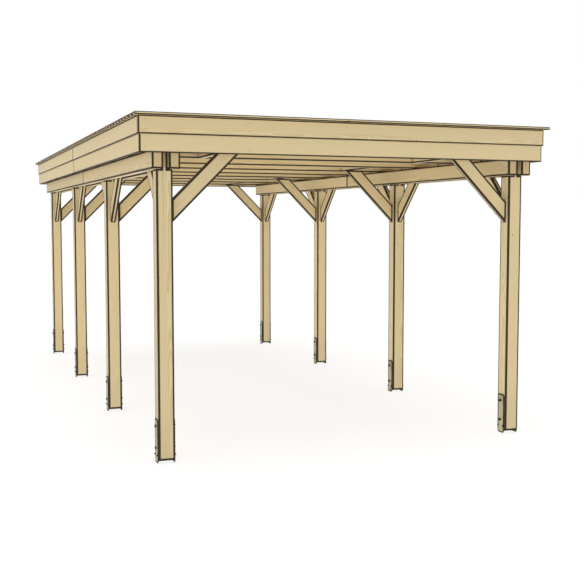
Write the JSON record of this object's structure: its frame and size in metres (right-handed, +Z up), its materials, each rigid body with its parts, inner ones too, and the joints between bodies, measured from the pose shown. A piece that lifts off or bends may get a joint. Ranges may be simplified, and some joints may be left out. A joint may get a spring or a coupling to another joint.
{
  "type": "timber carport",
  "caption": "Open timber carport: square posts on steel anchors, twin side beams with diagonal braces, rafters across and a flat boarded roof with a two-course fascia.",
  "frame": {"origin": "on the ground, under the middle of the roof", "axes": "+X to the right across the car bay, +Y from the front to the back along the roof, +Z up"},
  "size_m": [3.4, 6.66, 2.53],
  "materials": {
    "timber": "planed softwood, pale straw, untreated look",
    "roof_boards": "planed softwood boards",
    "fascia_boards": "planed softwood boards",
    "galvanised_steel": "hot-dip galvanised, dull grey"
  },
  "bodies": {
    "root": {"anchor_left_1": "galvanised_steel", "anchor_left_2": "galvanised_steel", "anchor_left_3": "galvanised_steel", "anchor_left_4": "galvanised_steel", "anchor_right_1": "galvanised_steel", "anchor_right_2": "galvanised_steel", "anchor_right_3": "galvanised_steel", "anchor_right_4": "galvanised_steel", "beam_left_inner_back": "timber", "beam_left_inner_front": "timber", "beam_left_outer_back": "timber", "beam_left_outer_front": "timber", "beam_right_inner_back": "timber", "beam_right_inner_front": "timber", "beam_right_outer_back": "timber", "beam_right_outer_front": "timber", "blockings_left": "timber", "blockings_right": "timber", "cross_braces_left": "timber", "cross_braces_right": "timber", "fascia_back_lower": "fascia_boards", "fascia_back_upper": "fascia_boards", "fascia_front_lower": "fascia_boards", "fascia_front_upper": "fascia_boards", "fascia_left_lower": "fascia_boards", "fascia_left_upper": "fascia_boards", "fascia_right_lower": "fascia_boards", "fascia_right_upper": "fascia_boards", "post_left_1": "timber", "post_left_2": "timber", "post_left_3": "timber", "post_left_4": "timber", "post_right_1": "timber", "post_right_2": "timber", "post_right_3": "timber", "post_right_4": "timber", "purlins": "timber", "rafters_back": "timber", "rafters_front": "timber", "rafters_middle": "timber", "roof_deck_left": "roof_boards", "roof_deck_right": "roof_boards", "side_braces_left": "timber", "side_braces_right": "timber"}
  },
  "joints": []
}
